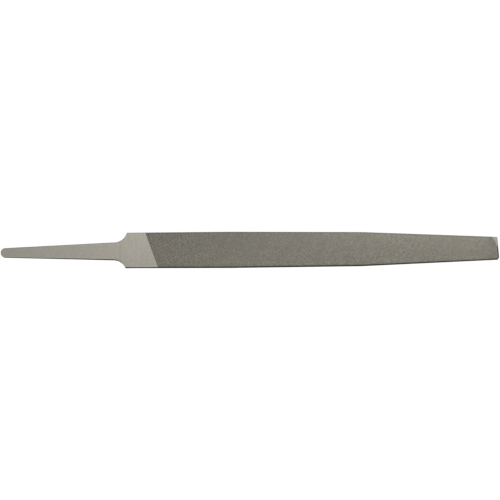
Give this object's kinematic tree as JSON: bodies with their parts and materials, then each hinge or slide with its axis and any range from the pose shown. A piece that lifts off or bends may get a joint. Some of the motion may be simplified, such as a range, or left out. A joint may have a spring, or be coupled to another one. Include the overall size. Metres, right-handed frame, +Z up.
{
  "type": "flat file",
  "caption": "Hand file of tapered rectangular section with double-cut faces, single-cut edges, a smooth heel and a bare tapered tang for a handle.",
  "frame": {"origin": "on the plane that the lower face rests on, under the middle of the overall length and of the blade's width", "axes": "+X along the file from the tang to the point, +Y to the left of someone looking from the tang to the point with the upper face up, +Z up, out of the upper face"},
  "size_m": [0.2678, 0.019, 0.005],
  "materials": {
    "ground_steel": "hardened steel, ground across the length, matt, with a faint warm tint",
    "toothed_steel": "hardened steel, cut with fine teeth, dark and matt"
  },
  "bodies": {
    "root": {"file_blank": "ground_steel", "upper_face_teeth": "toothed_steel", "lower_face_teeth": "toothed_steel", "left_edge_teeth": "toothed_steel", "right_edge_teeth": "toothed_steel"}
  },
  "joints": []
}
